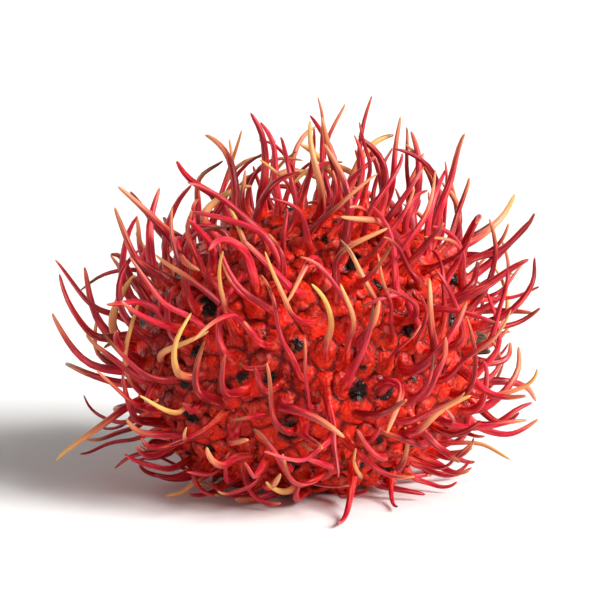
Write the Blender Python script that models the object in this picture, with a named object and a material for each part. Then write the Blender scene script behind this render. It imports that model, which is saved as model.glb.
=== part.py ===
"""One rambutan, picked and with its stalk snapped off short, lying on its side.

The rind is an ovoid covered with low tubercles, and each tubercle runs out into one
soft, tapering, curved spine, a spintern. Rind and spinterns grew as one piece, so they
are one closed mesh: the top of each tubercle is a face of the rind, and its spintern is
drawn out of that face. The fruit rests on a small flat spot, and the spinterns low on
its sides are pushed out along the surface that it lies on.

Metres, +Z up. The origin is the middle of the flat spot. The stalk end is towards +X.
"""

import math
import random

import bmesh
import bpy
import numpy as np
from mathutils import Matrix, Vector
from mathutils.bvhtree import BVHTree
from mathutils.kdtree import KDTree

MM = 0.001

# The body without its spinterns
LENGTH = 45.0 * MM  # along X, from the tip to the stalk end
DEPTH = 38.5 * MM  # along Y
HEIGHT = 38.0 * MM  # along Z, before the flat spot is taken off
EGG_SHARE = 0.05  # how much fuller the body is at the stalk end than in its middle
FLAT_SPOT_RADIUS = 6.0 * MM

# Tubercles, one under each spintern
SPREAD_COUNT = 316  # directions spread over the whole body, before any is left out
NUDGE = 1.3 * MM  # how far a tubercle is first moved from its even place
SPACING = 4.6 * MM  # nearer than this, two tubercles push each other apart
PUSH_SHARE = 0.3  # of what they lack, made good in one round
SETTLING_ROUNDS = 6
BARE_ROUND_STALK = 5.6 * MM
BARE_ROUND_FLAT_SPOT = 9.0 * MM
TUBERCLE_RISE = 0.6 * MM
GROOVE_DEPTH = 0.35 * MM
GROOVE_TO_TUBERCLE = 2.0 * MM
GROOVE_TO_STALK = 4.5 * MM
GROOVE_TO_FLAT_SPOT = 7.2 * MM
ROOT_RADIUS = 1.3 * MM

# Spinterns
LONG = (12.5 * MM, 17.0 * MM)
STUNTED = (6.0 * MM, 9.5 * MM)
STUNTED_SHARE = 0.09
BASE_RADIUS = 1.0 * MM
TIP_RADIUS = 0.25 * MM
TAPER = 2.0  # above 1, a spintern thins fast near its base and slowly near its tip
BROAD, THIN = 1.30, 0.85  # its base is flattened like a fin, broad in the plane it bends in
UPWARD_LEAN = 0.55
SIDEWAYS_LEAN = 0.36
BEND = (35.0, 125.0)  # degrees, from base to tip
BEND_GROWTH = 1.25  # above 1, the bend gathers towards the tip
BEND_UPWARDS, BEND_SCATTER = 0.9, 0.75  # most bend upwards, but not all
PUSH_STARTS, PUSH_ENDS = 0.4, 0.75  # how far down the rind faces where spinterns are pushed out
PUSHED_CLIMB = 0.12  # the slope at which a fully pushed-out spintern leaves the rind
STEEPEST_CLIMB = 0.7  # the slope, over its length, of a step lifted off the floor
CROWDED_LOSS = 0.6  # of its length, by the last try for a crowded spintern
LOSS_BELOW = 0.4  # of its length, where the fruit lies on it
STEPS = 12  # even steps along a spintern
RINGS = (2, 5, 8, 10)  # the steps at which its mesh has a ring
CORNERS = 3  # of each ring
CORNER_REACH = 1.25  # corner radius over true radius, so that the outline is as wide
GAP = 0.15 * MM  # between two spinterns
RIND_GAP = 0.1 * MM  # between a spintern and the rind that it leans over
FLOOR_GAP = 0.3 * MM  # under a spintern that lies along the surface
TRIES = 120
ABOVE_ROOT = 0.1  # of the way to the first ring, where a spintern starts to be kept off the rind

# The stalk's scar
COLLAR_FOOT_RADIUS = 3.6 * MM
COLLAR_RADIUS = 3.0 * MM
COLLAR_RISE = 0.7 * MM
PIT_RADIUS = 2.2 * MM
PIT_RIM_RISE = 0.4 * MM
PIT_FLOOR_RADIUS = 2.05 * MM
PIT_DEPTH = 0.9 * MM
STUB_RADIUS = 1.7 * MM
STUB_END_RADIUS = 1.45 * MM
STUB_LENGTH = 2.6 * MM
STUB_SLANT = 12.0  # degrees, of the snapped end
STUB_BEVEL = 0.2 * MM
FIT_GAP = 0.3 * MM
ROUND_SIDES = 14

SEED = 3
FAR_AWAY = 9.0  # metres: out of the reach of all
GOLDEN_ANGLE = math.pi * (3 - math.sqrt(5))
UP = Vector((0, 0, 1))
STALK_WAY = Vector((1, 0, 0))
SWEEP = Vector((-0.2, 0, 1))  # up, and on top of the fruit towards its tip
HALF = Vector((LENGTH, DEPTH, HEIGHT)) / 2
FLAT_SPOT_ANGLE = math.asin(FLAT_SPOT_RADIUS / math.sqrt(HALF.x * HALF.y))
MIDDLE_HEIGHT = HALF.z * math.cos(FLAT_SPOT_ANGLE)


def clear_scene():
    for old in list(bpy.data.objects):
        bpy.data.objects.remove(old)


def on_body(way):
    """The point of the smooth body in this direction. The fuller stalk end lies level with the rest."""
    fullness = 1 + EGG_SHARE * way.x
    return Vector(
        (
            HALF.x * way.x,
            HALF.y * way.y * fullness,
            HALF.z * (way.z * fullness + fullness - 1) + MIDDLE_HEIGHT,
        )
    )


def outwards(way):
    """The smooth body's outward normal there."""
    return Vector((way.x / HALF.x, way.y / HALF.y, way.z / HALF.z)).normalized()


def way_to(point):
    """The direction in which a point near the body is seen from the body's middle."""
    way = Vector((point.x / HALF.x, point.y / HALF.y, (point.z - MIDDLE_HEIGHT) / HALF.z))
    fullness = 1 + EGG_SHARE * max(-1.0, min(1.0, way.x))
    way.y /= fullness
    way.z = (way.z - fullness + 1) / fullness
    return way.normalized()


def along(vector, normal):
    """What is left of a vector when its part along the normal is taken away."""
    return vector - normal * vector.dot(normal)


def round_about(way, radius, count):
    """Directions to the points of a small circle on the body."""
    normal = outwards(way)
    side = along(UP, normal).normalized()
    other = normal.cross(side)
    found = []
    for k in range(count):
        angle = math.tau * k / count
        found.append(way_to(on_body(way) + (side * math.cos(angle) + other * math.sin(angle)) * radius))
    return found


def tree_of(points):
    """A tree that finds the points near a place."""
    tree = KDTree(len(points))
    for k, point in enumerate(points):
        tree.insert(point, k)
    tree.balance()
    return tree


def settled(ways):
    """The same directions after tubercles that crowd each other have pushed each other apart."""
    for _ in range(SETTLING_ROUNDS):
        spots = [on_body(way) for way in ways]
        tree = tree_of(spots)
        ways = []
        for spot in spots:
            push = Vector((0, 0, 0))
            for other, _, apart in tree.find_range(spot, SPACING):
                if apart > 0:
                    push += (spot - other) * (SPACING / apart - 1)
            ways.append(way_to(spot + push * PUSH_SHARE))
    return ways


def clear_of_ends(spot, from_stalk, from_flat_spot):
    """Whether a point on the body is further than this from the stalk's middle and from the flat spot's."""
    return (spot - on_body(STALK_WAY)).length > from_stalk and spot.length > from_flat_spot


def spread_ways(draw):
    """Directions to the tubercles: spread by the golden angle, nudged at random, then settled."""
    ways = []
    for k in range(SPREAD_COUNT):
        x = 1 - (2 * k + 1) / SPREAD_COUNT
        across = math.sqrt(1 - x * x)
        angle = k * GOLDEN_ANGLE
        even = Vector((x, across * math.cos(angle), across * math.sin(angle)))
        nudge = Vector([draw.uniform(-1, 1) for _ in range(3)]) * NUDGE
        ways.append(way_to(on_body(even) + nudge))
    return [
        way
        for way in settled(ways)
        if clear_of_ends(on_body(way), BARE_ROUND_STALK, BARE_ROUND_FLAT_SPOT)
    ]


def hull_of(points):
    """A bmesh of the convex hull, whose vertices come in the order of the points. All of them lie on it."""
    made = bmesh.new()
    for point in points:
        made.verts.new(point)
    made.verts.ensure_lookup_table()
    bmesh.ops.convex_hull(made, input=made.verts)
    made.verts.index_update()
    return made


def pushed_out(normal):
    """How far a spintern is pushed out sideways, 0 to 1: under the body it has no room to point down."""
    return max(0.0, min(1.0, (-normal.z - PUSH_STARTS) / (PUSH_ENDS - PUSH_STARTS)))


def set_out(way):
    """The direction in which spinterns leave the rind there: swept up a little, and never into the floor."""
    normal = outwards(way)
    heading = (normal + along(UP, normal) * UPWARD_LEAN).normalized()
    out = Vector((normal.x, normal.y, 0.0)).normalized()
    return heading.lerp(out + UP * PUSHED_CLIMB, pushed_out(normal)).normalized()


def tubercle_top(way):
    """The corners of a tubercle's top: the directions to them, and how far each stands out of the body.

    The top is longest the way that the spinterns sweep, and tilts half as far as they lean.
    """
    normal = outwards(way)
    facing = (normal + set_out(way)).normalized()
    wide = along(SWEEP, normal).normalized()
    side = normal.cross(wide)
    found = []
    for k in range(CORNERS):
        angle = math.tau * k / CORNERS
        off = (wide * (math.cos(angle) * BROAD) + side * (math.sin(angle) * THIN)) * ROOT_RADIUS
        found.append((way_to(on_body(way) + off), TUBERCLE_RISE - off.dot(facing) / normal.dot(facing)))
    return found


def groove_ways(ways):
    """Directions to the low points between tubercles: the middle of each triangle of three neighbours."""
    spots = [on_body(way) for way in ways]
    tree = tree_of(spots)
    hull = hull_of(spots)
    found = []
    for face in hull.faces:
        middle = way_to(face.calc_center_median())
        spot = on_body(middle)
        if clear_of_ends(spot, GROOVE_TO_STALK, GROOVE_TO_FLAT_SPOT):
            if tree.find(spot)[2] > GROOVE_TO_TUBERCLE:
                found.append(middle)
    hull.free()
    return found


def build_rind(ways):
    """The rind without its spinterns, as a bmesh, and the face on top of each tubercle."""
    starts, moves = [], []  # on the smooth body, where a hull joins them all up, and how far each then goes

    def add(way, rise):
        starts.append(on_body(way))
        moves.append(outwards(way) * rise)

    for way in ways:
        for corner, rise in tubercle_top(way):
            add(corner, rise)
    for way in groove_ways(ways):
        add(way, -GROOVE_DEPTH)
    stalk_rings = (
        (COLLAR_FOOT_RADIUS, 0.0),
        (COLLAR_RADIUS, COLLAR_RISE),
        (PIT_RADIUS, PIT_RIM_RISE),
        (PIT_FLOOR_RADIUS, -PIT_DEPTH),
    )
    for radius, rise in stalk_rings:
        for way in round_about(STALK_WAY, radius, ROUND_SIDES):
            add(way, rise)
    rim_count = len(starts)
    for k in range(ROUND_SIDES):
        angle = math.tau * k / ROUND_SIDES
        out = math.sin(FLAT_SPOT_ANGLE)
        rim = on_body(Vector((out * math.cos(angle), out * math.sin(angle), -math.cos(FLAT_SPOT_ANGLE))))
        rim.z = 0.0
        starts.append(rim)

    made = hull_of(starts)
    made.verts.ensure_lookup_table()
    face_of = {frozenset(vert.index for vert in face.verts): face for face in made.faces}
    roots = [face_of[frozenset(range(CORNERS * k, CORNERS * (k + 1)))] for k in range(len(ways))]
    for vert, move in zip(made.verts[:rim_count], moves):
        vert.co += move
        vert.co.z = max(vert.co.z, FLOOR_GAP)
    bmesh.ops.recalc_face_normals(made, faces=made.faces)
    made.faces.index_update()
    return made, roots


def flatness(share):
    """How broad and how thin a spintern's section is, this far along it."""
    return 1 + (BROAD - 1) * (1 - share), 1 + (THIN - 1) * (1 - share)


def corner_radius(share):
    """How far a spintern's corners are from its centre line, this far along it."""
    return (TIP_RADIUS + (BASE_RADIUS - TIP_RADIUS) * (1 - share) ** TAPER) * CORNER_REACH


def top_of(way):
    """The middle of a tubercle's top."""
    return on_body(way) + outwards(way) * TUBERCLE_RISE


def grown(way, crowding, draw):
    """One spintern's centre line, drawn at random, as its points and the direction across its bend.

    Crowding is 0 at the first try and nears 1 as tries run out: it shortens and scatters.
    """
    normal = outwards(way)
    length = draw.uniform(*(STUNTED if draw.random() < STUNTED_SHARE else LONG))
    length *= (1 - CROWDED_LOSS * crowding) * (1 - LOSS_BELOW * pushed_out(normal))
    chance = Vector([draw.gauss(0, 1) for _ in range(3)])
    heading = set_out(way) + along(chance, normal) * SIDEWAYS_LEAN * (1 + crowding)
    heading.normalize()
    towards = UP * BEND_UPWARDS + Vector([draw.gauss(0, BEND_SCATTER) for _ in range(3)])
    towards = along(towards, heading).normalized()
    bend = math.radians(draw.uniform(*BEND))
    points = [top_of(way)]
    for step in range(STEPS):
        share = (step + 0.5) / STEPS
        turn = bend * share**BEND_GROWTH
        ahead = (heading * math.cos(turn) + towards * math.sin(turn)) * (length / STEPS)
        lowest = FLOOR_GAP + corner_radius(share)
        if points[-1].z + ahead.z < lowest:
            ahead.z = min(lowest - points[-1].z, ahead.length * STEEPEST_CLIMB)
            ahead *= length / STEPS / ahead.length
        points.append(points[-1] + ahead)
    return points, heading.cross(towards)


def ring_at(points, across, step, swell=0.0):
    """The corners of a spintern's section at a step, counter-clockwise seen from its tip."""
    share = step / STEPS
    broad, thin = flatness(share)
    radius = corner_radius(share) + swell
    ahead = (points[min(step + 1, STEPS)] - points[max(step - 1, 0)]).normalized()
    wide = across.cross(ahead).normalized()
    side = ahead.cross(wide)
    corners = []
    for k in range(CORNERS):
        angle = math.tau * k / CORNERS
        off = wide * (math.cos(angle) * broad) + side * (math.sin(angle) * thin)
        corners.append(points[step] + off * radius)
    return corners


def rings_over(root, points, across, swell=0.0):
    """A spintern's rings, each with its corners in the order of the root's, so that it doesn't twist."""
    rings = [ring_at(points, across, step, swell) for step in RINGS]
    twists = [
        sum((vert.co - rings[0][(turn + k) % CORNERS]).length for k, vert in enumerate(root.verts))
        for turn in range(CORNERS)
    ]
    turn = twists.index(min(twists))
    return [ring[turn:] + ring[:turn] for ring in rings]


def leans_clear(points, across, root, rind_tree):
    """Whether a spintern, from just above its root to its tip, crosses no face of the rind."""
    rings = rings_over(root, points, across, RIND_GAP)
    rings.insert(0, [vert.co.lerp(corner, ABOVE_ROOT) for vert, corner in zip(root.verts, rings[0])])
    corners = [corner for ring in rings for corner in ring] + [points[-1]]
    tip = len(corners) - 1
    faces = []
    for low in range(0, tip, CORNERS):
        for k in range(CORNERS):
            left, right = low + k, low + (k + 1) % CORNERS
            if low + CORNERS < tip:
                faces.append((left, right, right + CORNERS, left + CORNERS))
            else:
                faces.append((left, right, tip))
    return not BVHTree.FromPolygons(corners, faces).overlap(rind_tree)


def place_spinterns(ways, roots, rind_tree, draw):
    """A centre line for each tubercle. A draw that would touch a neighbour or the rind is drawn again."""
    shares = np.arange(STEPS + 1) / STEPS
    reach = np.array([corner_radius(share) * flatness(share)[0] for share in shares])
    # Room is kept over every tubercle from the start, so that none is grown over before its turn.
    taken = np.array([tuple(top_of(way)) for way in ways])
    taken_reach = np.full(len(ways), BASE_RADIUS)
    placed = []
    for k, (way, root) in enumerate(zip(ways, roots)):
        taken[k] = FAR_AWAY
        for attempt in range(TRIES):
            points, across = grown(way, attempt / TRIES, draw)
            here = np.array([tuple(point) for point in points])
            apart = np.sqrt(((here[:, None] - taken[None]) ** 2).sum(axis=2))
            if (apart - reach[:, None] - taken_reach[None]).min() < GAP:
                continue
            if leans_clear(points, across, root, rind_tree):
                placed.append((root, rings_over(root, points, across), points[-1]))
                taken = np.concatenate([taken, here])
                taken_reach = np.concatenate([taken_reach, reach])
                break
    return placed


def draw_out(made, root, rings, tip):
    """Draws one spintern out of its tubercle's top, ring by ring, to a point."""
    top = root
    below = [vert.co.copy() for vert in root.verts]
    for ring in rings:
        top = bmesh.ops.extrude_discrete_faces(made, faces=[top])["faces"][0]
        for vert in top.verts:
            k = min(range(CORNERS), key=lambda corner: (below[corner] - vert.co).length)
            vert.co = ring[k]
        below = ring
    bmesh.ops.pointmerge(made, verts=list(top.verts), merge_co=tip)


def build_fruit(material):
    """Rind and spinterns as one closed mesh."""
    draw = random.Random(SEED)
    ways = spread_ways(draw)
    made, roots = build_rind(ways)
    placed = place_spinterns(ways, roots, BVHTree.FromBMesh(made), draw)
    for root, rings, tip in placed:
        draw_out(made, root, rings, tip)
    bmesh.ops.recalc_face_normals(made, faces=made.faces)
    print("tubercles:", len(ways), "spinterns:", len(placed), "faces:", len(made.faces))
    mesh = bpy.data.meshes.new("fruit")
    made.to_mesh(mesh)
    made.free()
    return add_object("fruit", mesh, material)


def build_stalk_stub(material):
    """What is left of the stalk: a short woody peg in its pit, snapped off a little askew."""
    made = bmesh.new()
    bmesh.ops.create_cone(
        made,
        cap_ends=True,
        segments=ROUND_SIDES,
        radius1=STUB_RADIUS,
        radius2=STUB_END_RADIUS,
        depth=STUB_LENGTH,
        matrix=Matrix.Translation((0, 0, STUB_LENGTH / 2)),
    )
    for vert in made.verts:
        if vert.co.z > STUB_LENGTH / 2:
            vert.co.z += vert.co.x * math.tan(math.radians(STUB_SLANT))
    bmesh.ops.bevel(
        made,
        geom=[edge for edge in made.edges if min(vert.co.z for vert in edge.verts) > STUB_LENGTH / 2],
        offset=STUB_BEVEL,
        offset_type="OFFSET",
        segments=1,
        profile=0.5,
        affect="EDGES",
        material=-1,
    )
    mesh = bpy.data.meshes.new("stalk_stub")
    made.to_mesh(mesh)
    made.free()
    stub = add_object("stalk_stub", mesh, material)
    stub.location = on_body(STALK_WAY) + STALK_WAY * (FIT_GAP - PIT_DEPTH)
    stub.rotation_euler = (0, math.radians(90), 0)
    return stub


def add_object(name, mesh, material):
    made = bpy.data.objects.new(name, mesh)
    bpy.context.scene.collection.objects.link(made)
    mesh.materials.append(material)
    return made


def surface(name, colour, roughness):
    """A plain Principled material, its colour as linear RGB."""
    made = bpy.data.materials.new(name)
    made.use_nodes = True
    shader = made.node_tree.nodes["Principled BSDF"]
    shader.inputs["Base Color"].default_value = (*colour, 1)
    shader.inputs["Roughness"].default_value = roughness
    shader.inputs["Metallic"].default_value = 0.0
    return made


clear_scene()
build_fruit(surface("crimson_rind", (0.58, 0.03, 0.03), 0.45))
build_stalk_stub(surface("brown_stalk", (0.16, 0.09, 0.05), 0.8))
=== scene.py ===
# %% [markdown]
# # Dressing a rambutan
#
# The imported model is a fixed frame: a faceted fruit of the right size, with every
# soft spine, or spintern, where it grew. This lesson keeps that form and replaces it
# with what the eye sees close up: a leathery rind of grooved tubercles, smooth tapering
# spinterns with golden tips, and a woody remnant of the stalk.

# %% Load the frame
import math
import random

import bmesh
import bpy
import numpy as np
from mathutils import Matrix, Vector, noise
from mathutils.kdtree import KDTree


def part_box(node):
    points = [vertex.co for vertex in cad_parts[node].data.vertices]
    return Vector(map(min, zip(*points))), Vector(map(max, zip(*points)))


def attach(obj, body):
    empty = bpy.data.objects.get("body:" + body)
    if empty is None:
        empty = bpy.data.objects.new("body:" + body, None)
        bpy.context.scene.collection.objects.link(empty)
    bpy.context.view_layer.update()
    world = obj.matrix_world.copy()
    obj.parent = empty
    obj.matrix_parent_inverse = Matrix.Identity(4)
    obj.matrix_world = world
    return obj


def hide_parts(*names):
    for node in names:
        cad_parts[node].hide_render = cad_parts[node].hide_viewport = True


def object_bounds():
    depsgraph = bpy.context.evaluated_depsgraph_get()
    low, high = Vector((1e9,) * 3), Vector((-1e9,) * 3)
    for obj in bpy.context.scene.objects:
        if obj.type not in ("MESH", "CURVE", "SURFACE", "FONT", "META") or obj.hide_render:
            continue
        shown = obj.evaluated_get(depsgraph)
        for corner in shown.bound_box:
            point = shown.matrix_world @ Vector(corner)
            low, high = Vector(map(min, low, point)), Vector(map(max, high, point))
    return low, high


MM = 0.001
SEED = 11

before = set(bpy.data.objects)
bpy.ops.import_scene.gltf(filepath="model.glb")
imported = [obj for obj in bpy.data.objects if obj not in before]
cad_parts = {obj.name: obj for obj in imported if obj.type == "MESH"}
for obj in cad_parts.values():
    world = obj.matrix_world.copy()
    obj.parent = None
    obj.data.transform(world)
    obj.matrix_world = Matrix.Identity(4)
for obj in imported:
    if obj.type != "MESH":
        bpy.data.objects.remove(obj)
cad_box = [list(corner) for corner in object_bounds()]
draw = random.Random(SEED)
print("CAD box in mm:", [[round(x / MM, 1) for x in corner] for corner in cad_box])

# %% [markdown]
# ## The smooth body under everything
#
# A rambutan's body is an ovoid, a little fuller at its stalk end. The fruit was modelled
# on that ovoid, so the same few measures give it again here. Every point of it is named
# by a direction from its middle, and one function turns a direction into a place.

# %% The ovoid
BODY = Vector((45.0, 38.5, 38.0)) * MM
EGG_SHARE = 0.05
FLAT_SPOT_RADIUS = 6.0 * MM
HALF = BODY / 2
MIDDLE_HEIGHT = HALF.z * math.cos(math.asin(FLAT_SPOT_RADIUS / math.sqrt(HALF.x * HALF.y)))
UP = Vector((0, 0, 1))


def on_body(way):
    """The point of the smooth body in this direction from its middle."""
    fullness = 1 + EGG_SHARE * way.x
    low = HALF.z * (way.z * fullness + fullness - 1) + MIDDLE_HEIGHT
    return Vector((HALF.x * way.x, HALF.y * way.y * fullness, low))


def outwards(way):
    """The body's outward normal there."""
    return Vector((way.x / HALF.x, way.y / HALF.y, way.z / HALF.z)).normalized()


def way_to(point):
    """The direction in which a point near the body is seen from the body's middle."""
    way = Vector((point.x / HALF.x, point.y / HALF.y, (point.z - MIDDLE_HEIGHT) / HALF.z))
    fullness = 1 + EGG_SHARE * max(-1.0, min(1.0, way.x))
    return Vector((way.x, way.y / fullness, (way.z - fullness + 1) / fullness)).normalized()


def along(vector, normal):
    """What is left of a vector when its part along the normal is taken away."""
    return vector - normal * vector.dot(normal)


def eased(value, low, high):
    """0 below low, 1 above high, and a smooth step between them."""
    share = max(0.0, min(1.0, (value - low) / (high - low)))
    return share * share * (3 - 2 * share)


STALK_END = on_body(Vector((1, 0, 0)))
print("the stalk end is at", [round(x / MM, 1) for x in STALK_END], "mm")

# %% [markdown]
# ## Reading the spinterns from the frame
#
# The frame already says where each spintern grows and how it bends, so nothing is placed
# again by hand. In its mesh a spintern is a stack of triangles that ends in one point. A
# tip is a corner with three neighbours that are all neighbours of each other. From there
# the walk goes down ring by ring, to the triangle on top of the tubercle.

# %% Centre lines
RING_SHARES = (0, 2 / 12, 5 / 12, 8 / 12, 10 / 12, 1)  # how far along a spintern each ring is
SAME_CORNER = 0.001 * MM
TIP_RING_WIDTH = 0.9 * MM


def neighbours(vert):
    return {edge.other_vert(vert) for edge in vert.link_edges}


def is_tip(vert):
    """Whether this corner is a spintern's point."""
    ring = neighbours(vert)
    if len(ring) != 3:
        return False
    close = all((a.co - b.co).length < TIP_RING_WIDTH for a in ring for b in ring)
    return close and all(len(neighbours(a) & ring) == 2 for a in ring)


def walk_down(tip):
    """The corners of each ring of a spintern, from its root to its tip."""
    above, ring = {tip}, neighbours(tip)
    rings = [above, ring]
    while len(rings) < len(RING_SHARES):
        below = set().union(*(neighbours(vert) for vert in ring)) - ring - above
        above, ring = ring, below
        rings.append(ring)
    return [[vert.co.copy() for vert in ring] for ring in reversed(rings)]


def middle(corners):
    return sum(corners, Vector((0, 0, 0))) / len(corners)


merged = bmesh.new()
merged.from_mesh(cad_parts["fruit"].data)
bmesh.ops.remove_doubles(merged, verts=merged.verts, dist=SAME_CORNER)
stacks = [walk_down(vert) for vert in merged.verts if is_tip(vert)]
merged.free()
stacks.sort(key=lambda rings: tuple(round(x, 6) for x in middle(rings[0])))
lines = [[middle(ring) for ring in rings] for rings in stacks]
ring_sizes = {len(ring) for rings in stacks for ring in rings}
print(len(lines), "spinterns read; corners in a ring:", ring_sizes)

# %% [markdown]
# The rings are far apart, and straight steps between them would show as kinks. A cubic
# curve that passes each ring middle with a known velocity is smooth, and it needs no
# points but those that the frame gives.

# %% A smooth curve through the ring middles


def slopes(points):
    """The curve's velocity at each ring middle, in length per share."""
    steps = [
        (b - a) / (high - low)
        for a, b, low, high in zip(points, points[1:], RING_SHARES, RING_SHARES[1:])
    ]
    between = [(a + b) / 2 for a, b in zip(steps, steps[1:])]
    first, last = steps[0] * 1.5 - between[0] * 0.5, steps[-1] * 1.5 - between[-1] * 0.5
    return [first, *between, last]


def point_at(points, velocities, share):
    """The place on the curve, which runs straight on below its first ring."""
    if share <= 0:
        return points[0] + velocities[0] * share
    k = max(i for i, start in enumerate(RING_SHARES[:-1]) if start < share)
    span = RING_SHARES[k + 1] - RING_SHARES[k]
    t = (share - RING_SHARES[k]) / span
    return (
        points[k] * (2 * t**3 - 3 * t**2 + 1)
        + velocities[k] * (t**3 - 2 * t**2 + t) * span
        + points[k + 1] * (3 * t**2 - 2 * t**3)
        + velocities[k + 1] * (t**3 - t**2) * span
    )


halfway = point_at(lines[0], slopes(lines[0]), 0.5)
print("halfway, the first spintern is at", [round(x / MM, 1) for x in halfway], "mm")

# %% [markdown]
# ## Tubercles
#
# Each spintern stands on a tubercle, a low swelling of the rind. A few tubercles have
# lost theirs: they are taken to be at the places that lie furthest from every root.
# The frame holds only as many spinterns as a solid can, and a real fruit has more, so
# smaller ones are added in the corners between three tubercles.

# %% Places for tubercles
BARE_GAP = 3.75 * MM  # from the nearest tubercle to a place that has lost its spintern
BETWEEN_GAP = 2.45 * MM
BETWEEN_SPACING = 3.4 * MM
BARE_ROUND_STALK = 5.6 * MM
BARE_ROUND_FLAT_SPOT = 8.5 * MM
PROBES = 4000
GOLDEN_ANGLE = math.pi * (3 - math.sqrt(5))


def tree_of(points):
    tree = KDTree(len(points))
    for k, point in enumerate(points):
        tree.insert(point, k)
    tree.balance()
    return tree


def probe(k):
    """One of many places spread evenly over the body."""
    x = 1 - (2 * k + 1) / PROBES
    across, turn = math.sqrt(1 - x * x), k * GOLDEN_ANGLE
    return on_body(Vector((x, across * math.cos(turn), across * math.sin(turn))))


def far_spots(spots, gap, spacing):
    """Places at least so far from the spots and from each other, the furthest first."""
    tree = tree_of(spots)
    probes = [probe(k) for k in range(PROBES)]
    probes = [
        spot
        for spot in probes
        if (spot - STALK_END).length > BARE_ROUND_STALK and spot.length > BARE_ROUND_FLAT_SPOT
    ]
    found = []
    for spot in sorted(probes, key=lambda spot: -tree.find(spot)[2]):
        if tree.find(spot)[2] < gap:
            break
        if all((spot - other).length > spacing for other in found):
            found.append(spot)
    return found


roots = [on_body(way_to(line[0])) for line in lines]
bare_spots = far_spots(roots, BARE_GAP, BARE_GAP)
between_spots = far_spots(roots + bare_spots, BETWEEN_GAP, BETWEEN_SPACING)
print(len(roots), "roots,", len(bare_spots), "bare places,", len(between_spots), "places between")

# %% [markdown]
# No two tubercles are alike, so each gets a tint and creases of its own. It is drawn out
# the way its spintern leaves it, and its sides are steeper than its ends.

# %% The tubercles
LEAST_SWEEP = 0.1  # with less, a heading points straight out
RIDGE_COUNTS = (3, 4, 4, 5, 6)


class Tubercle:
    """Where a tubercle is, which way its spintern leaves it, and how it looks."""

    def __init__(self, spot, heading=None):
        self.spot = spot
        self.normal = outwards(way_to(spot))
        self.heading = heading or self.normal
        sweep = along(self.heading, self.normal)
        if sweep.length < LEAST_SWEEP:
            sweep = along(UP, self.normal)
        self.wide = sweep.normalized()
        self.side = self.normal.cross(self.wide)
        self.tint = draw.random()
        self.ridges = draw.choice(RIDGE_COUNTS)
        self.phase = draw.uniform(0, math.tau)


large = [Tubercle(spot, (line[1] - line[0]).normalized()) for spot, line in zip(roots, lines)]
bare = [Tubercle(spot) for spot in bare_spots]
large_tree = tree_of(roots)


def heading_among(spot):
    """The way the three nearest spinterns leave the rind, on average."""
    return middle([large[k].heading for _, k, _ in large_tree.find_n(spot, 3)]).normalized()


small = [Tubercle(spot, heading_among(spot)) for spot in between_spots]
tubercles = large + bare + small
tubercle_tree = tree_of([tubercle.spot for tubercle in tubercles])
print(len(tubercles), "tubercles")

# %% [markdown]
# ## The rind
#
# The rind could be sculpted by hand, but a fruit's skin follows rules, so here an
# icosphere is bent to the ovoid and each vertex is moved by a few of them. It rises like
# a low tent towards each tubercle, with creases down its sides, and it sinks in the
# grooves, which lie where two tubercles are equally near. The foot of each spintern,
# made further on, comes up through the top of its tent.

# %% The rind's relief
RIND_SUBDIVISIONS = 7
GROOVE_DEPTH = 0.3 * MM
GROOVE_WIDTH = 0.5 * MM
TENT_RISE, TENT_POWER = 0.75 * MM, 1.3
TENT_THINNESS = 1.25
CREASE_RISE = 0.22 * MM
LUMP_RISE, LUMP_SIZE = 0.14 * MM, 1.5 * MM
STALK_PROFILE = ((1.8, -0.9), (2.3, 0.3), (2.9, 0.6), (4.0, 0.0))  # radius and rise, in mm
PUCKERS, PUCKER_RISE, PUCKER_RADII = 11, 0.3 * MM, (1.9 * MM, 2.9 * MM)
PLAIN_ROUND_STALK = (3.3 * MM, 5.2 * MM)  # tents and grooves fade out between these
NEAREST = 4  # tubercles that can be the closest one by the stretched distance


def stalk_rise(spot):
    """How far the puckered rim round the stalk stands out of the ovoid here."""
    radius = (spot - STALK_END).length
    for (near, low), (far, high) in zip(STALK_PROFILE, STALK_PROFILE[1:]):
        if radius < far * MM:
            rise = (low + (high - low) * eased(radius, near * MM, far * MM)) * MM
            turn = math.atan2(spot.y - STALK_END.y, spot.z - STALK_END.z)
            pucker = abs(math.sin(PUCKERS * turn / 2 + noise.noise(spot / LUMP_SIZE)))
            return rise - PUCKER_RISE * pucker * eased(radius, *PUCKER_RADII)
    return 0.0


def tent_distance(spot, tubercle):
    """The distance to a tubercle's middle, longer across the tubercle than along it."""
    off = spot - tubercle.spot
    return math.hypot(off.dot(tubercle.wide), off.dot(tubercle.side) * TENT_THINNESS)


def relief(spot, normal):
    """Where a point of the smooth body goes, and its groove and tint values there."""
    near = [tubercles[k] for _, k, _ in tubercle_tree.find_n(spot, NEAREST)]
    near.sort(key=lambda tubercle: tent_distance(spot, tubercle))
    first, second = (tent_distance(spot, tubercle) for tubercle in near[:2])
    nearest = near[0]
    off = spot - nearest.spot
    turn = math.atan2(off.dot(nearest.side), off.dot(nearest.wide))
    height = (second - first) / (second + first)
    groove = math.exp(-(((second - first) / GROOVE_WIDTH) ** 2))
    crease = 1 - abs(math.sin(nearest.ridges * turn / 2 + nearest.phase))
    crease *= height * (1 - height) * 4  # none on the top and none in the groove
    covered = eased((spot - STALK_END).length, *PLAIN_ROUND_STALK)
    rise = TENT_RISE * height**TENT_POWER - GROOVE_DEPTH * groove + CREASE_RISE * crease
    rise *= covered
    rise += noise.noise(spot / LUMP_SIZE) * LUMP_RISE + stalk_rise(spot)
    return spot + normal * rise, (groove * covered, nearest.tint)


tallest = max(relief(tubercle.spot, tubercle.normal)[0].z for tubercle in tubercles)
print("the highest tubercle reaches", round(tallest / MM, 1), "mm")

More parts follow.
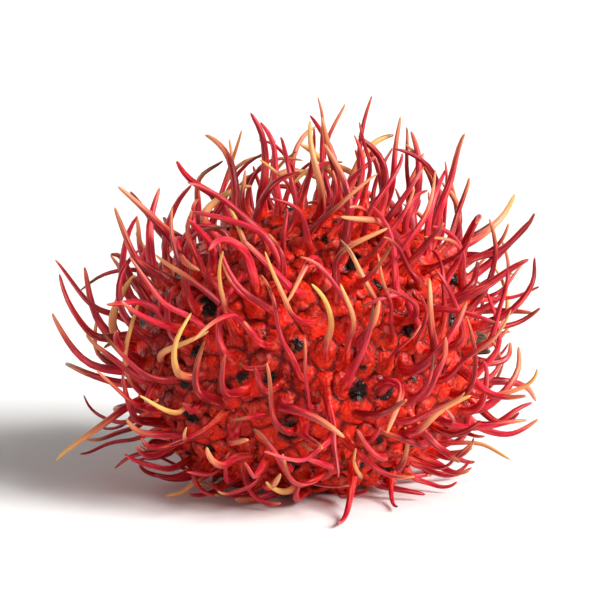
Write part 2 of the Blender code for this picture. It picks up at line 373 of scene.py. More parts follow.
# %% [markdown]
# An icosphere's faces are about equal all over, while those of a sphere with poles crowd
# there. The rim round the stalk has the finest forms, so its edges are cut once more.

# %% Build the rind
GROUND = 0.02 * MM  # the lowest that anything reaches
FINE_ROUND_STALK = 4.6 * MM  # the rim round the stalk needs smaller faces
RIND_VALUES = ("groove", "tint")


def write_values(mesh, name, values):
    """Stores one number for each vertex, for a material to read by name."""
    mesh.attributes.new(name, "FLOAT", "POINT").data.foreach_set("value", values)


def add_piece(name, made):
    """Turns a bmesh into a smooth-shaded object at the origin."""
    mesh = bpy.data.meshes.new(name)
    made.to_mesh(mesh)
    made.free()
    mesh.shade_smooth()
    piece = bpy.data.objects.new(name, mesh)
    bpy.context.scene.collection.objects.link(piece)
    return piece


def build_rind():
    made = bmesh.new()
    bmesh.ops.create_icosphere(made, subdivisions=RIND_SUBDIVISIONS, radius=1)
    starts = {edge: on_body(edge.verts[0].co.normalized()) for edge in made.edges}
    close = [
        edge for edge, start in starts.items() if (start - STALK_END).length < FINE_ROUND_STALK
    ]
    bmesh.ops.subdivide_edges(made, edges=close, cuts=1)
    bmesh.ops.triangulate(made, faces=made.faces)
    values = []
    for vert in made.verts:
        way = vert.co.normalized()
        vert.co, numbers = relief(on_body(way), outwards(way))
        vert.co.z = max(vert.co.z, GROUND)
        values.append(numbers)
    piece = add_piece("rind", made)
    for name, column in zip(RIND_VALUES, zip(*values)):
        write_values(piece.data, name, column)
    return piece


rind = build_rind()
print("rind:", len(rind.data.polygons), "faces")

# %% [markdown]
# ## The spinterns
#
# One plain tube is made first: a ring of six corners, extruded a few times and closed to
# a point. Each spintern is a copy of it, bent along its centre line. Its foot is a broad
# cone that sits in the rind, and from there it narrows to a flat fin and then to a strand
# with a blunt end. A subdivision surface rounds it, so the copied tube can stay at a few
# dozen faces.

# %% The plain tube
SIDES = 6
TUBE_PROFILE = (  # share of the length, and radius in mm
    (-0.2, 2.15),
    (-0.1, 1.7),
    (0.0, 1.12),
    (0.08, 0.88),
    (0.2, 0.73),
    (0.34, 0.63),
    (0.48, 0.57),
    (0.62, 0.51),
    (0.75, 0.45),
    (0.87, 0.38),
    (0.96, 0.28),
    (1.0, 0.0),
)
TUBE_SHARES = [share for share, _ in TUBE_PROFILE]


def extruded(made, edges, rise):
    """Extrudes a ring of edges, lifts it along Z, and gives the new corners and edges."""
    grown = bmesh.ops.extrude_edge_only(made, edges=edges)["geom"]
    ring = [item for item in grown if isinstance(item, bmesh.types.BMVert)]
    edges = [item for item in grown if isinstance(item, bmesh.types.BMEdge)]
    bmesh.ops.translate(made, verts=ring, vec=(0, 0, rise))
    return ring, [edge for edge in edges if all(vert in ring for vert in edge.verts)]


def build_tube():
    """A closed tube of radius 1 round the Z axis, with a ring at each share of its length."""
    made = bmesh.new()
    bmesh.ops.create_circle(made, cap_ends=True, radius=1, segments=SIDES)
    bmesh.ops.translate(made, verts=made.verts, vec=(0, 0, TUBE_SHARES[0]))
    edges = list(made.edges)
    for low, high in zip(TUBE_SHARES, TUBE_SHARES[1:]):
        ring, edges = extruded(made, edges, high - low)
    bmesh.ops.pointmerge(made, verts=ring, merge_co=(0, 0, 1))
    bmesh.ops.recalc_face_normals(made, faces=made.faces)
    mesh = bpy.data.meshes.new("tube")
    made.to_mesh(mesh)
    made.free()
    return mesh


tube = build_tube()
print("the plain tube has", len(tube.polygons), "faces")

# %% [markdown]
# Real spinterns are soft. Many of their thin ends curl, and all of them have small bends
# from growing pressed together. The frame's own lines are simpler, so the outer part of
# about half of them is turned further, and then noise in space sways every line a
# little, close ones alike. What would reach outside the frame's box keeps its old line.

# %% Curled and swayed centre lines
CURLED_SHARE = 0.5
CURL_FROM = 0.4
CURL = (math.radians(20), math.radians(110))
CURL_BACK_SHARE = 0.22
CURL_SCATTER = 0.45
SWAY, SWAY_LENGTH = 1.4 * MM, 6 * MM
SWAY_GROWS = (0.1, 0.5)  # from none to all of it, in shares of the spintern's length
SWAY_SHIFTS = (Vector((0, 0, 0)), Vector((31, 0, 0)), Vector((0, 31, 0)))  # for x, y and z
BOX_MARGIN = 0.4 * MM
FOOT_LEVELS = (-0.45 * MM, 0.2 * MM)  # of a line's first two points, from the smooth body


def smoothed(line):
    """The centre line as one point for each ring of the plain tube."""
    velocities = slopes(line)
    return [point_at(line, velocities, share) for share in TUBE_SHARES]


def footed(tubercle, points):
    """The same line, with its first two points straight below and on the tubercle's middle."""
    return [tubercle.spot + tubercle.normal * level for level in FOOT_LEVELS] + points[2:]


def within_box(points):
    low, high = cad_box
    corners = [(x, a, b) for point in points for x, a, b in zip(point, low, high)]
    return all(a + BOX_MARGIN < x < b - BOX_MARGIN for x, a, b in corners)


def curled(points):
    """The same line with its end turned further, roughly about the axis that it bends round."""
    axis = (points[2] - points[1]).cross(points[-1] - points[-2]).normalized()
    scatter = Vector([draw.gauss(0, CURL_SCATTER) for _ in range(3)])
    curl = draw.uniform(*CURL) * (-1 if draw.random() < CURL_BACK_SHARE else 1)
    if draw.random() > CURLED_SHARE:
        return points
    axis = (axis + scatter).normalized()
    turned = [points[0]]
    for share, a, b in zip(TUBE_SHARES[1:], points, points[1:]):
        angle = curl * max(0.0, share - CURL_FROM) / (1 - CURL_FROM)
        turned.append(turned[-1] + Matrix.Rotation(angle, 3, axis) @ (b - a))
    return turned if within_box(turned[1:]) else points


def swayed(points):
    """The same line with small bends, which lines that are close together share."""
    moved = []
    for share, point in zip(TUBE_SHARES, points):
        sway = Vector([noise.noise(point / SWAY_LENGTH + shift) for shift in SWAY_SHIFTS])
        moved.append(point + sway * (SWAY * eased(share, *SWAY_GROWS)))
    return moved if within_box(moved[1:]) else points


free = sum(within_box(smoothed(line)) for line in lines)
print(free, "of", len(lines), "lines lie clear of the box's sides")

# %% [markdown]
# The tubercles that lost their spintern keep a short stump of it, dried and brown. The
# small tubercles get shorter spinterns. Each of these is drawn several times, and the
# one that keeps furthest from the others is kept, so that few of them cross.

# %% Stumps and short spinterns
STUMP_LENGTH = (1.6 * MM, 3.6 * MM)
STUMP_TILT = 0.35
SHORT_LENGTH = (8.5 * MM, 14.5 * MM)
SHORT_TILT = 0.3
SHORT_BEND, SHORT_BEND_GROWTH = (math.radians(30), math.radians(130)), 1.2
SHORT_SCATTER = 0.8
SHORT_TRIES = 14
PAST_ROOT = 4  # the first point of a try that has to keep clear of the others


def stump(tubercle):
    """A short straight line out of a bare tubercle."""
    tilt = Vector([draw.gauss(0, STUMP_TILT) for _ in range(3)])
    heading = (tubercle.normal + along(tilt, tubercle.normal)).normalized()
    length = draw.uniform(*STUMP_LENGTH)
    return [tubercle.spot + heading * (length * share) for share in TUBE_SHARES]


def arc(tubercle):
    """A line that leaves a tubercle and bends more and more, mostly upwards."""
    tilt = Vector([draw.gauss(0, SHORT_TILT) for _ in range(3)])
    heading = (tubercle.heading + along(tilt, tubercle.normal)).normalized()
    towards = UP + Vector([draw.gauss(0, SHORT_SCATTER) for _ in range(3)])
    towards = along(towards, heading).normalized()
    bend, length = draw.uniform(*SHORT_BEND), draw.uniform(*SHORT_LENGTH)
    points = [tubercle.spot + heading * (length * TUBE_SHARES[0])]
    for low, high in zip(TUBE_SHARES, TUBE_SHARES[1:]):
        turn = bend * max(0.0, (low + high) / 2) ** SHORT_BEND_GROWTH
        ahead = heading * math.cos(turn) + towards * math.sin(turn)
        points.append(points[-1] + ahead * (length * (high - low)))
    return points


def clearest(tubercle, tree):
    """The best of several arcs, or none if all of them leave the frame's box."""

    def clearance(points):
        return min(tree.find(point)[2] for point in points[PAST_ROOT:])

    tries = [arc(tubercle) for _ in range(SHORT_TRIES)]
    tries = [points for points in tries if within_box(points[2:])]
    return max(tries, key=clearance, default=None)


print("a short spintern is the clearest of", SHORT_TRIES, "tries")

# %% [markdown]
# Each spintern also differs in girth and in colour. Most stay red almost to the tip, some
# turn golden early, and a few have a dry brown tip, so those numbers are drawn as well.

# %% The spinterns
GIRTH_SPREAD = (0.6, 1.15)
HUE_POWER = 1.4  # more dark ones than bright ones
GOLDEN_SHARE = 0.22
GOLD_FROM, RED_TO_TIP = (0.42, 0.82), (0.8, 1.2)  # where gold starts, in shares of the length
DRY_SHARE, DRY_FROM, STUMP_DRY_FROM = 0.1, (0.86, 0.97), (0.1, 0.5)
NEVER = 2.0
STUMP_GIRTH, SHORT_GIRTH = 0.85, 0.74


class Spintern:
    """One spintern: its centre line, the way its fin is broad, its girth and its colouring."""

    def __init__(self, tubercle, route, fin_way, girth=1.0):
        self.tubercle, self.route, self.fin_way = tubercle, footed(tubercle, route), fin_way
        self.foot_girth, self.girth = girth, girth * draw.uniform(*GIRTH_SPREAD)
        self.gold = draw.uniform(*(GOLD_FROM if draw.random() < GOLDEN_SHARE else RED_TO_TIP))
        self.dry = draw.uniform(*DRY_FROM) if draw.random() < DRY_SHARE else NEVER
        self.hue = draw.random() ** HUE_POWER


long_ones = []
for tubercle, rings, line in zip(large, stacks, lines):
    fin_way = max(rings[1], key=lambda corner: (corner - line[1]).length) - line[1]
    long_ones.append(Spintern(tubercle, swayed(curled(smoothed(line))), fin_way))
for tubercle in bare:
    long_ones.append(Spintern(tubercle, stump(tubercle), tubercle.wide, STUMP_GIRTH))
    long_ones[-1].gold, long_ones[-1].dry = NEVER, draw.uniform(*STUMP_DRY_FROM)

short_ones = []
taken = [point for spintern in long_ones for point in spintern.route]
for tubercle in small:
    route = clearest(tubercle, tree_of(taken))
    if route:
        short_ones.append(Spintern(tubercle, swayed(route), tubercle.wide, SHORT_GIRTH))
        taken += route
print(len(long_ones), "spinterns from the frame, with stumps, and", len(short_ones), "short ones")

# %% [markdown]
# A curve with a bevel could make the strands too, but it can't flatten a root to a fin
# or keep numbers along them. So each ring of a copied tube is moved to its place on the
# line and turned square to it. The frame of the rings turns from the tubercle's own
# normal to the line, and so the foot stands straight on the rind.

# %% Bend a tube along each centre line
ROUNDING = 1.15  # makes up for what the subdivision takes off the corners
BROAD, THIN = 1.25, 0.85
UNEVEN, UNEVEN_RINGS = 0.14, 7
TURNS_TO_LINE, FOOT_ENDS = (-0.1, 0.1), 0.25  # in shares of the length


def bend_tube(verts, spintern, seed):
    """Moves the vertices of one copied tube on to a spintern's centre line."""
    route, wide, normal = spintern.route, spintern.fin_way, spintern.tubercle.normal
    places = {}
    for k, share in enumerate(TUBE_SHARES):
        ahead = (route[min(k + 1, len(route) - 1)] - route[max(k - 1, 0)]).normalized()
        ahead = normal.lerp(ahead, eased(share, *TURNS_TO_LINE)).normalized()
        wide = along(wide, ahead).normalized()
        places[k] = (route[k], wide, ahead.cross(wide))
    for vert in verts:
        x, y, z = vert.co
        k = min(places, key=lambda ring: abs(TUBE_SHARES[ring] - z))
        here, broad_way, thin_way = places[k]
        left = 1 - max(z, 0.0)
        past_foot = eased(z, 0, FOOT_ENDS)
        girth = spintern.foot_girth + (spintern.girth - spintern.foot_girth) * past_foot
        radius = TUBE_PROFILE[k][1] * MM * ROUNDING * girth
        radius *= 1 + UNEVEN * noise.noise((x + seed, y, z * UNEVEN_RINGS))
        broad, thin = x * (1 + (BROAD - 1) * left), y * (1 + (THIN - 1) * left)
        vert.co = here + (broad_way * broad + thin_way * thin) * radius
        vert.co.z = max(vert.co.z, GROUND)


print("a root is about", round(2 * TUBE_PROFILE[3][1] * BROAD, 1), "mm broad")

# %% [markdown]
# A spintern is red like the skin at its root, rose further out, and often golden or
# yellow-green towards its tip. How far the gold reaches differs from one to the next, so
# each has numbers of its own, stored on its vertices. The streaks along it need a
# coordinate that bends with it: round the tube, and along it in millimetres.

# %% Build the spinterns, with the numbers for their colours
STREAK_OFFSET = 37.0  # mm, so that no two spinterns have the same streaks
COLOUR_NUMBERS = ("gold", "dry", "hue")


def length_of(route):
    return sum((b - a).length for a, b in zip(route, route[1:]))


def build_spinterns(name, group):
    """One object with a bent tube for each spintern of the group, and their numbers on it."""
    made = bmesh.new()
    for k, spintern in enumerate(group):
        start = len(made.verts)
        made.from_mesh(tube)
        made.verts.ensure_lookup_table()
        bend_tube(made.verts[start:], spintern, k)
    piece = add_piece(name, made)
    corners = np.array([vert.co for vert in tube.vertices])
    per, count = len(corners), len(group)
    write_values(piece.data, "along", np.tile(corners[:, 2], count))
    numbers = {value: [getattr(one, value) for one in group] for value in COLOUR_NUMBERS}
    numbers["tint"] = [one.tubercle.tint for one in group]
    for value, column in numbers.items():
        write_values(piece.data, value, np.repeat(column, per))
    lengths = [length_of(spintern.route) / MM for spintern in group]
    lengthways = np.tile(corners, (count, 1))
    lengthways[:, 2] *= np.repeat(lengths, per)
    lengthways[:, 2] += np.repeat(np.arange(count) * STREAK_OFFSET, per)
    layer = piece.data.attributes.new("lengthways", "FLOAT_VECTOR", "POINT")
    layer.data.foreach_set("vector", lengthways.ravel())
    rounding = piece.modifiers.new("rounding", "SUBSURF")
    rounding.levels = 1
    rounding.render_levels = 1
    print(name, "has", len(piece.data.polygons), "faces before subdivision")
    return piece


spinterns = build_spinterns("spinterns", long_ones)
short_spinterns = build_spinterns("short_spinterns", short_ones)

# %% [markdown]
# ## The stalk's remnant
#
# The stalk is wood: a short peg, snapped off a little askew, with fibres along it. It
# starts as a disc that is extruded ring by ring, and each vertex is moved by noise that
# is stretched along the peg, which splits its side into fibres and frays its end.

# %% Build the stalk's remnant
STUB_RADIUS, STUB_END_RADIUS = 1.7 * MM, 1.45 * MM
STUB_SLANT = math.radians(12)
STUB_SIDES, STUB_RINGS = 48, 14
STUB_SUNK = 0.3 * MM  # below the frame's own peg
STUB_ROOM = 0.5 * MM  # left above it for the frayed end
STUB_EDGE_LOSS = 0.12  # of the radius, where bark has chipped off the broken end
FRAYED_FROM, CHIPPED_FROM, BROKEN_FROM = 0.9, 0.93, 0.95  # in shares of the peg's length
END_INSETS = (0.15, 0.3, 0.3)  # rings on the broken end, for bark, wood and pith
FIBRES, FIBRE_CHANGE, FIBRE_DEPTH = 4, 1.2, 0.14 * MM  # round the peg, along it, and how deep
FRAYED_BITS, FRAY = 5, 0.45 * MM
FRAY_SHIFT = Vector((9, 0, 3))  # to another part of the noise
STUB_VALUES = ("across", "broken")


def build_stub():
    low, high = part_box("stalk_stub")
    bottom, length = low.x - STUB_SUNK, high.x - low.x + STUB_SUNK
    centre = (low + high) / 2
    made = bmesh.new()
    bmesh.ops.create_circle(made, cap_ends=True, radius=1, segments=STUB_SIDES)
    edges = list(made.edges)
    for _ in range(STUB_RINGS):
        _, edges = extruded(made, edges, 1 / STUB_RINGS)
    end = bmesh.ops.edgeloop_fill(made, edges=edges)["faces"]
    for inset in END_INSETS:
        bmesh.ops.inset_region(made, faces=end, thickness=inset, use_even_offset=False)
    bmesh.ops.recalc_face_normals(made, faces=made.faces)
    values = []
    for vert in made.verts:
        x, y, z = vert.co
        values.append((math.hypot(x, y), eased(z, BROKEN_FROM, 1)))
        radius = STUB_RADIUS + (STUB_END_RADIUS - STUB_RADIUS) * z
        radius *= 1 - STUB_EDGE_LOSS * eased(z, CHIPPED_FROM, 1)
        fibre = noise.noise((x * FIBRES, y * FIBRES, z * FIBRE_CHANGE)) * FIBRE_DEPTH
        frayed = noise.noise(Vector((x, y, 0)) * FRAYED_BITS + FRAY_SHIFT) * FRAY
        level = bottom + z * (length - STUB_ROOM) + z * x * radius * math.tan(STUB_SLANT)
        level += frayed * eased(z, FRAYED_FROM, 1)
        vert.co = (level, centre.y + y * (radius + fibre), centre.z - x * (radius + fibre))
    piece = add_piece("stalk_remnant", made)
    for name, column in zip(STUB_VALUES, zip(*values)):
        write_values(piece.data, name, column)
    return piece


stub = build_stub()
print("stalk remnant:", len(stub.data.polygons), "faces")

# %% [markdown]
# ## Materials
#
# Colours are written as people pick them, in sRGB, and one function turns them into the
# linear values that a renderer needs. Another adds a node with its settings and links.
# A fruit's skin has several colours over each other, so the last one lays such layers in
# order. Sizes are in millimetres, because a pattern looks right only at its real scale.

# %% Helpers for materials
MIX_FACTOR, MIX_A, MIX_B, MIX_RESULT = 0, 6, 7, 2  # the colour sockets of a Mix node
EASED = "SMOOTHSTEP"
# Sockets 0 to 4 of a Map Range node are its value, the range that the value comes from,
# and the range that it goes to.


def linear(code):
    """The linear colour of an sRGB hex value."""
    shares = [int(code[k : k + 2], 16) / 255 for k in (1, 3, 5)]
    return (*[x / 12.92 if x < 0.04045 else ((x + 0.055) / 1.055) ** 2.4 for x in shares], 1)


def per_mm(size):
    """The texture scale that gives features of this size in millimetres."""
    return 1 / (size * MM)


def new_material(name):
    made = bpy.data.materials.new(name)
    made.use_nodes = True
    return made


def plug(material, node, sockets):
    """Gives each socket of a node a value, or the output that feeds it."""
    for socket, value in sockets.items():
        if isinstance(value, bpy.types.NodeSocket):
            material.node_tree.links.new(value, node.inputs[socket])
        else:
            node.inputs[socket].default_value = value


def add_node(material, kind, sockets=None, **settings):
    """Adds a node with its settings and links."""
    node = material.node_tree.nodes.new("ShaderNode" + kind)
    for name, value in settings.items():
        setattr(node, name, value)
    plug(material, node, sockets or {})
    return node


def painted(material, colour, layers, easing=EASED):
    """The colour with layers over it: value, where it starts and is full, share, colour."""
    for value, start, full, share, over in layers:
        amount = {0: value, 1: start, 2: full, 4: share}
        amount = add_node(material, "MapRange", amount, interpolation_type=easing).outputs[0]
        sockets = {MIX_FACTOR: amount, MIX_A: colour, MIX_B: over}
        colour = add_node(material, "Mix", sockets, data_type="RGBA").outputs[MIX_RESULT]
    return colour


print("mid grey in linear values:", round(linear("#808080")[0], 3))

# %% [markdown]
# ### Rind
#
# Fresh rambutan rind is leather-like, with a thin waxy skin that shines in small sparks.
# Its red goes from crimson to orange-red in patches, painted shade deepens it to wine in
# the grooves, and it turns to near black in the bruises. The feet of the spinterns are the
# same skin, so one function gives both their colour and their fine relief, from the same
# coordinates.

# %% The skin that rind and spinterns share
PATCH_SIZE, GRAIN_SIZE = 7, 0.8  # mm
WRINKLE_SIZE, PORE_SIZE = 0.35, 0.55  # mm, coarser than real ones, so that they show
BRUISE_SPACING = 4.4  # mm
BRUISE_RADII = (0.18, 0.38)  # as shares of the spacing
BRUISE_SHIFT = (0.9, 2.4, 3.1)  # mm, which bruises are in front
EDGE_SIZE, EDGE_WOBBLE = 1.3, 1.9  # mm, how fine and how far a bruise's edge wanders
BRUISE_LAYERS = (  # in shares of the spacing, inwards from the edge
    (-0.06, 0.02, 0.85, "#48100A"),  # a brown rim
    (0.0, 0.06, 0.97, "#160402"),  # a nearly black middle
)


def skin(material, tint):
    """The skin's colour, its grain, its fine relief, and how deep in a bruise a place is."""
    place = add_node(material, "TexCoord").outputs["Object"]
    patches = {"Vector": place, "Scale": per_mm(PATCH_SIZE), "Detail": 3}
    patches = add_node(material, "TexNoise", patches).outputs["Fac"]
    grain = {"Vector": place, "Scale": per_mm(GRAIN_SIZE), "Detail": 4, "Roughness": 0.65}
    grain = add_node(material, "TexNoise", grain).outputs["Fac"]
    red = painted(material, linear("#A00B0A"), [(patches, 0.38, 0.62, 1, linear("#EE1C08"))])
    red = painted(material, red, [(tint, 0, 1, 0.5, linear("#F2380C"))], "LINEAR")
    specks = (grain, 0.5, 0.3, 0.5, linear("#7A070A"))
    # the bright flecks are partly the skin's own orange-red grain and partly painted highlight
    flecks = (grain, 0.54, 0.72, 0.75, linear("#FF6E3C"))
    red = painted(material, red, [specks, flecks])

    wobble = {"Vector": place, "Scale": per_mm(EDGE_SIZE), "Detail": 5, "Roughness": 0.6}
    wobble = add_node(material, "TexNoise", wobble).outputs["Color"]
    shifted = {0: wobble, 1: (EDGE_WOBBLE * MM,) * 3, 2: place}
    shifted = add_node(material, "VectorMath", shifted, operation="MULTIPLY_ADD").outputs[0]
    shifted = {0: shifted, 1: tuple(x * MM for x in BRUISE_SHIFT)}
    shifted = add_node(material, "VectorMath", shifted, operation="ADD").outputs[0]
    cells = {"Vector": shifted, "Scale": per_mm(BRUISE_SPACING)}
    cells = add_node(material, "TexVoronoi", cells).outputs
    radius = {0: cells["Color"], 1: 0.2, 2: 0.9, 3: BRUISE_RADII[0], 4: BRUISE_RADII[1]}
    radius = add_node(material, "MapRange", radius, interpolation_type=EASED).outputs[0]
    inside = {0: radius, 1: cells["Distance"]}
    inside = add_node(material, "Math", inside, operation="SUBTRACT").outputs[0]

    wrinkles = {"Vector": place, "Scale": per_mm(WRINKLE_SIZE), "Detail": 3}
    wrinkles = add_node(material, "TexNoise", wrinkles).outputs["Fac"]
    pores = {"Vector": place, "Scale": per_mm(PORE_SIZE)}
    pores = add_node(material, "TexVoronoi", pores).outputs["Distance"]
    uneven = add_node(material, "Math", {0: wrinkles, 1: pores}, operation="ADD").outputs[0]
    return red, grain, uneven, inside


def bruised(material, colour, inside, strength=1.0):
    """The colour with the bruises on it."""
    layers = []
    for start, full, share, over in BRUISE_LAYERS:
        share = {0: share, 1: strength}
        share = add_node(material, "Math", share, operation="MULTIPLY").outputs[0]
        layers.append((inside, start, full, share, linear(over)))
    return painted(material, colour, layers)


print("bruises are up to", round(2 * BRUISE_RADII[1] * BRUISE_SPACING, 1), "mm wide")

# %% [markdown]
# On the rind itself, painted shade darkens the skin in the grooves, and a bruise is wetter
# than the skin round it, so it is the smoothest part.

# %% Rind material


def rind_material():
    made = new_material("waxy_rambutan_rind")
    groove, tint = (
        add_node(made, "Attribute", attribute_name=name).outputs["Fac"] for name in RIND_VALUES
    )
    red, grain, uneven, inside = skin(made, tint)
    # painted shade: the skin darkens to wine in the grooves between tubercles
    red = painted(made, red, [(groove, 0.05, 0.9, 0.82, linear("#4E050C"))])
    waxy = {0: grain, 1: 0.3, 2: 0.7, 3: 0.34, 4: 0.5}
    waxy = add_node(made, "MapRange", waxy, interpolation_type=EASED).outputs[0]
    wetter = {0: inside, 1: -0.04, 2: 0.04, 3: 0.0, 4: 0.26}
    wetter = add_node(made, "MapRange", wetter, interpolation_type=EASED).outputs[0]
    bump = {"Strength": 0.9, "Distance": 0.16 * MM, "Height": uneven}
    sockets = {
        "Base Color": bruised(made, red, inside),
        "Roughness": add_node(made, "Math", {0: waxy, 1: wetter}, operation="SUBTRACT").outputs[0],
        "Normal": add_node(made, "Bump", bump).outputs["Normal"],
        "IOR": 1.45,
        "Specular IOR Level": 0.26,
        "Subsurface Weight": 0.08,
        "Subsurface Radius": (1.0, 0.2, 0.1),
        "Subsurface Scale": 0.8 * MM,
    }
    plug(made, made.node_tree.nodes["Principled BSDF"], sockets)
    return made


rind.data.materials.append(rind_material())
print("rind material made")

# %% [markdown]
# ### Spinterns
#
# The same skin, but thinner and more see-through, so it glows more. Red at the root, rose
# in the middle, gold towards many tips, and brown where a tip has dried.

# %% Spintern material
STREAK_SHAPE = (1.8, 1.8, 0.3)  # narrow round a spintern, long along it
OWN_SKIN = (0.05, 0.5)  # where it turns from the rind's skin to its own
RAGGED_SKIN, RAGGED_GOLD = 0.4, 0.3  # how far the streaks carry a border along


def spintern_material():
    made = new_material("soft_spintern_skin")
    share, tint, *numbers = (
        add_node(made, "Attribute", attribute_name=name).outputs["Fac"]
        for name in ("along", "tint", *COLOUR_NUMBERS)
    )
    gold_from, dry_from, hue = numbers
    red, grain, uneven, inside = skin(made, tint)
    lengthways = add_node(made, "Attribute", attribute_name="lengthways").outputs["Vector"]
    stretched = {"Vector": lengthways, "Scale": STREAK_SHAPE}
    stretched = add_node(made, "Mapping", stretched).outputs[0]
    streaks = {"Vector": stretched, "Scale": 1.0, "Detail": 4}
    streaks = add_node(made, "TexNoise", streaks).outputs["Fac"]
    borders = []
    for ragged in (RAGGED_SKIN, RAGGED_GOLD):
        offset = {0: streaks, 1: ragged, 2: -ragged / 2}
        offset = add_node(made, "Math", offset, operation="MULTIPLY_ADD").outputs[0]
        borders.append(add_node(made, "Math", {0: share, 1: offset}, operation="ADD").outputs[0])
    further, here = borders
    past_gold, past_dry = (
        add_node(made, "Math", {0: here, 1: begin}, operation="SUBTRACT").outputs[0]
        for begin in (gold_from, dry_from)
    )
    rose = painted(made, linear("#920A16"), [(hue, 0, 1, 1, linear("#D8283D"))], "LINEAR")
    gold = painted(made, linear("#E2A05E"), [(hue, 0, 1, 1, linear("#D9AC56"))], "LINEAR")
    layers = [
        # painted shade where the foot leaves the rind, like the painted shade in the rind's
        # grooves
        (share, -0.03, -0.11, 0.6, linear("#4E050C")),  # dark where the foot leaves the rind
        (further, *OWN_SKIN, 1, rose),
        (streaks, 0.56, 0.32, 0.65, linear("#62060F")),  # dark streaks
        # the light streaks are partly the spintern's own paler tone and partly painted highlight
        # along it
        (streaks, 0.52, 0.72, 0.6, linear("#F87060")),  # light streaks
        (past_gold, -0.16, 0.16, 1, linear("#E08E60")),  # peach before the gold
        (past_gold, 0.08, 0.4, 1, gold),
        (past_dry, -0.06, 0.06, 1, linear("#74381C")),  # a dried tip
    ]
    near_rind = {0: share, 1: 0.0, 2: 0.08, 3: 1.0, 4: 0.0}
    near_rind = add_node(made, "MapRange", near_rind, interpolation_type=EASED).outputs[0]
    own_skin = {0: further, 1: OWN_SKIN[0], 2: OWN_SKIN[1]}
    own_skin = add_node(made, "MapRange", own_skin, interpolation_type=EASED).outputs[0]
    height = {0: own_skin, 2: uneven, 3: streaks}
    height = add_node(made, "Mix", height, data_type="FLOAT").outputs[0]
    bump = {"Strength": 0.8, "Distance": 0.14 * MM, "Height": height}
    waxy = {0: grain, 1: 0.3, 2: 0.7, 3: 0.28, 4: 0.44}
    sockets = {
        "Base Color": bruised(made, painted(made, red, layers), inside, near_rind),
        "Roughness": add_node(made, "MapRange", waxy, interpolation_type=EASED).outputs[0],
        "Normal": add_node(made, "Bump", bump).outputs["Normal"],
        "IOR": 1.45,
        "Specular IOR Level": 0.36,
        "Subsurface Weight": 0.12,
        "Subsurface Radius": (1.0, 0.3, 0.15),
        "Subsurface Scale": 0.6 * MM,
    }
    plug(made, made.node_tree.nodes["Principled BSDF"], sockets)
    return made


spintern_skin = spintern_material()
spinterns.data.materials.append(spintern_skin)
short_spinterns.data.materials.append(spintern_skin)
print("spintern material made")

# %% [markdown]
# ### Stalk wood
#
# Dry, unpeeled twig: dull grey-brown bark with darker fibres along it, matte all over.
# The broken end shows paler wood inside the bark, with a dark pith in its middle.

# %% Stalk material
FIBRE_SIZE, WOOD_GRAIN_SIZE = 0.35, 0.3  # mm, coarser than real ones, so that they show
FIBRE_SHAPE = (0.25, 1, 1)  # four times as long as wide, along the peg


def stalk_material():
    made = new_material("dry_twig")
    across, broken = (
        add_node(made, "Attribute", attribute_name=name).outputs["Fac"] for name in STUB_VALUES
    )
    place = add_node(made, "TexCoord").outputs["Object"]
    stretched = add_node(made, "Mapping", {"Vector": place, "Scale": FIBRE_SHAPE}).outputs[0]
    fibres = {"Vector": stretched, "Scale": per_mm(FIBRE_SIZE), "Detail": 4}
    fibres = add_node(made, "TexNoise", fibres).outputs["Fac"]
    grain = {"Vector": place, "Scale": per_mm(WOOD_GRAIN_SIZE), "Detail": 4}
    grain = add_node(made, "TexNoise", grain).outputs["Fac"]
    bark = painted(made, linear("#24150E"), [(fibres, 0.35, 0.65, 1, linear("#6A4C34"))])
    layers = [
        (grain, 0.35, 0.65, 1, linear("#A8845A")),  # paler bands
        (across, 0.3, 0.1, 0.8, linear("#2C1A10")),  # the pith
    ]
    wood = painted(made, linear("#5E4024"), layers)
    uneven = add_node(made, "Math", {0: fibres, 1: grain}, operation="ADD").outputs[0]
    bump = {"Strength": 0.8, "Distance": 0.15 * MM, "Height": uneven}
    sockets = {
        "Base Color": painted(made, bark, [(across, 0.98, 0.84, broken, wood)]),
        "Roughness": 0.85,
        "Normal": add_node(made, "Bump", bump).outputs["Normal"],
    }
    plug(made, made.node_tree.nodes["Principled BSDF"], sockets)
    return made


stub.data.materials.append(stalk_material())
print("stalk material made")

# %% [markdown]
# ## Joining the pieces to the frame
#
# Nothing moves, so every piece rides on the one body. The new rind and spinterns stand
# together for the faceted fruit, and the new peg for the faceted peg.

# %% Ride and replace
for piece, node, slot in (
    (rind, "fruit", "rind"),
    (spinterns, "fruit", "rind"),
    (short_spinterns, "fruit", "rind"),
    (stub, "stalk_stub", "stalk"),
):
    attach(piece, "root")
    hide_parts(node)
    print(piece.name, "stands for", node)

# %% [markdown]
# ## The studio
#
# The floor is white and curves up far away on every side, like a very wide shallow dish,
# so no horizon shows from any side.

# %% Floor
DISH = (  # radius and height, in metres
    (0.0, 0.0),
    (1.1, 0.0),
    (1.35, 0.03),
    (1.55, 0.12),
    (1.7, 0.27),
    (1.8, 0.5),
)
DISH_STEPS = 72


def build_dish():
    made = bmesh.new()
    verts = [made.verts.new((radius, 0, height)) for radius, height in DISH]
    edges = [made.edges.new(pair) for pair in zip(verts, verts[1:])]
    turn = {"cent": (0, 0, 0), "axis": (0, 0, 1), "angle": math.tau, "steps": DISH_STEPS}
    bmesh.ops.spin(made, geom=verts + edges, use_merge=True, **turn)
    bmesh.ops.remove_doubles(made, verts=made.verts, dist=SAME_CORNER)
    bmesh.ops.recalc_face_normals(made, faces=made.faces)
    if sum(face.normal.z for face in made.faces) < 0:
        bmesh.ops.reverse_faces(made, faces=made.faces)
    return add_piece("studio_floor", made)


floor = build_dish()
paper = new_material("white_paper")  # bright and matte, so that it only carries the shadow
paper_look = {"Base Color": linear("#EFEEEC"), "Roughness": 0.9}
plug(paper, paper.node_tree.nodes["Principled BSDF"], paper_look)
floor.data.materials.append(paper)
print("floor:", len(floor.data.polygons), "faces")

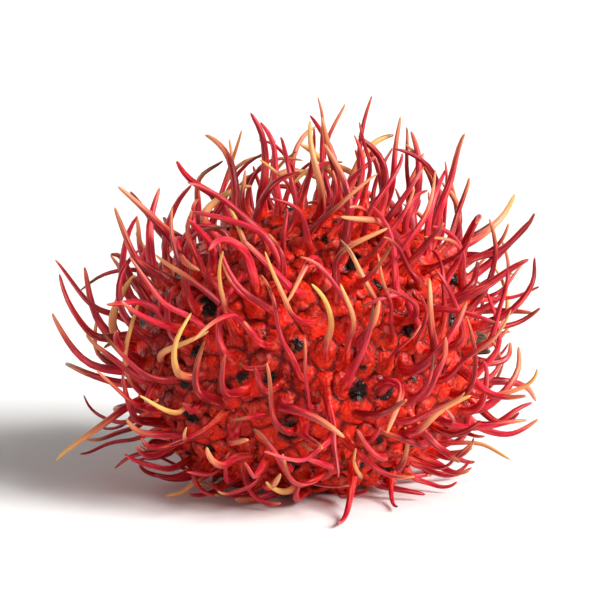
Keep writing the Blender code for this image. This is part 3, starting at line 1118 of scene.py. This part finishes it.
# %% [markdown]
# Shadows among the spinterns should be dark but soft. A sun with a wide angle gives that
# all over the fruit, from the right, in front and above. A weak lamp behind it lights the
# spinterns at its rim, and a pale sky fills the shadows.

# %% Lights
FRUIT_MIDDLE = Vector((0, 0, 26 * MM))
SUN_FROM = Vector((0.8, -0.47, 0.64))
SUN_STRENGTH, SUN_WIDTH = 6.25, math.radians(32)
LAMP_FROM = Vector((-0.3, 0.7, 0.5))
LAMP_POWER, LAMP_SIZE = 1.0, 0.4
SKY_STRENGTH = 0.16


def aim(data, place):
    """Puts a light at this place and turns it to the fruit."""
    light = bpy.data.objects.new(data.name, data)
    light.location = place
    light.rotation_euler = (FRUIT_MIDDLE - place).to_track_quat("-Z", "Y").to_euler()
    bpy.context.scene.collection.objects.link(light)


sun = bpy.data.lights.new("key", "SUN")
sun.energy = SUN_STRENGTH
sun.angle = SUN_WIDTH
aim(sun, SUN_FROM)
lamp = bpy.data.lights.new("back", "AREA")
lamp.shape = "DISK"
lamp.size = LAMP_SIZE
lamp.energy = LAMP_POWER
aim(lamp, LAMP_FROM)
world = bpy.data.worlds.new("pale_sky")
bpy.context.scene.world = world
world.use_nodes = True
sky = world.node_tree.nodes["Background"]
sky.inputs["Color"].default_value = (1, 1, 1, 1)
sky.inputs["Strength"].default_value = SKY_STRENGTH
bpy.context.scene.view_settings.view_transform = "Standard"
print("the sun has strength", SUN_STRENGTH, "and the lamp", LAMP_POWER, "W")

# %% [markdown]
# ## The camera
#
# It looks at the fruit from straight in front and a little above, through a long lens,
# which keeps the far spinterns nearly as large as the near ones.

# %% Camera
LENS = 180.0
DISTANCE = 0.4
NEAREST_SEEN = 0.01  # closer than the default, because the fruit is small
ELEVATION = math.radians(10)
LOOK_AT = Vector((-0.8, 0, 25.0)) * MM

camera_data = bpy.data.cameras.new("camera")
camera_data.lens = LENS
camera = bpy.data.objects.new("camera", camera_data)
back = Vector((0, -math.cos(ELEVATION), math.sin(ELEVATION)))
camera.location = LOOK_AT + back * DISTANCE
camera.rotation_euler = (-back).to_track_quat("-Z", "Y").to_euler()
camera_data.clip_start = NEAREST_SEEN
bpy.context.scene.collection.objects.link(camera)
bpy.context.scene.camera = camera
print("the camera is at", [round(x, 3) for x in camera.location], "m")
